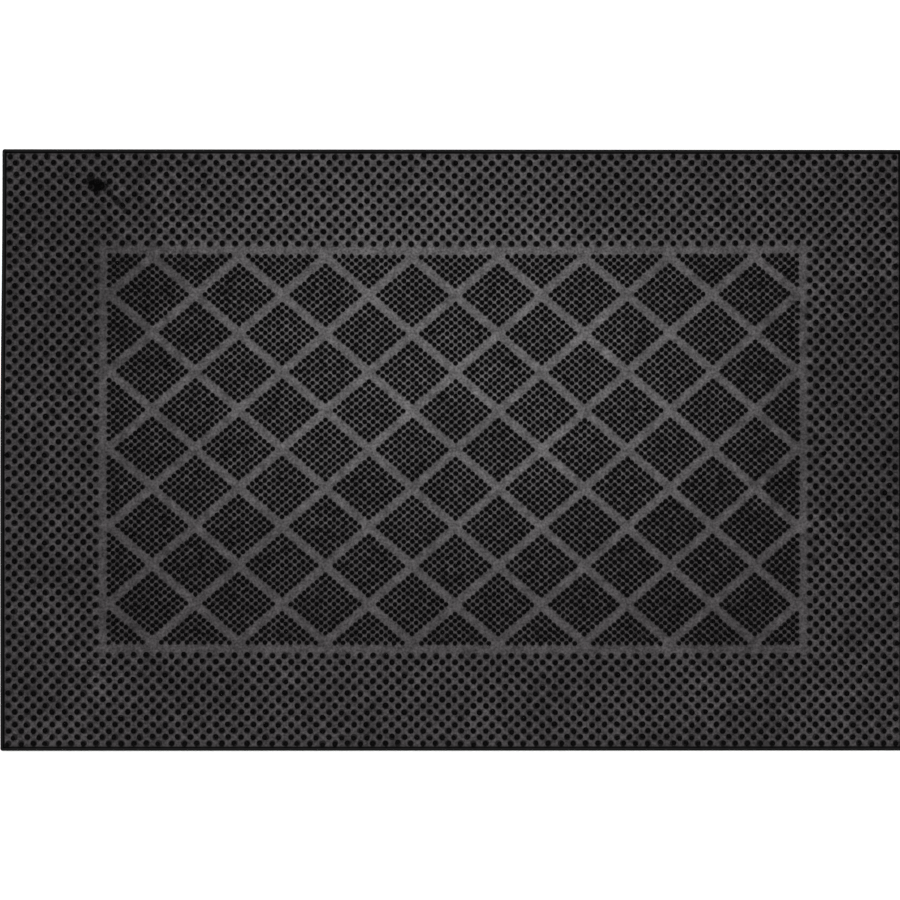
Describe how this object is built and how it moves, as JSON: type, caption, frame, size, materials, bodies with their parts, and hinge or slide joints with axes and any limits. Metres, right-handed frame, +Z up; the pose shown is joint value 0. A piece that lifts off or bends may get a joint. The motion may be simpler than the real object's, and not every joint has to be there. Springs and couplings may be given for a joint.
{
  "type": "door mat",
  "caption": "Flat rubber pin door mat: thin sheet with a rim, a border of coarse pins and a middle of fine-pin diamonds between smooth bars.",
  "frame": {"origin": "centre of the flat underside, on the floor", "axes": "+X along the mat's long side, +Y across it towards its back edge, +Z up out of the pins"},
  "size_m": [0.6, 0.4, 0.007],
  "materials": {
    "sheet_rubber": "matt grey-black moulded rubber with a dusty bloom",
    "pin_rubber": "near-black moulded rubber, slightly satin on the round pin tips",
    "rim_rubber": "near-black smooth moulded rubber"
  },
  "bodies": {
    "root": {"backing_sheet": "sheet_rubber", "rim_front": "rim_rubber", "rim_back": "rim_rubber", "rim_left": "rim_rubber", "rim_right": "rim_rubber", "border_pins_front": "pin_rubber", "border_pins_back": "pin_rubber", "border_pins_left": "pin_rubber", "border_pins_right": "pin_rubber", "diamond_row_01": "pin_rubber", "diamond_row_02": "pin_rubber", "diamond_row_03": "pin_rubber", "diamond_row_04": "pin_rubber", "diamond_row_05": "pin_rubber", "diamond_row_06": "pin_rubber", "diamond_row_07": "pin_rubber", "diamond_row_08": "pin_rubber", "diamond_row_09": "pin_rubber", "diamond_row_10": "pin_rubber", "diamond_row_11": "pin_rubber"}
  },
  "joints": []
}
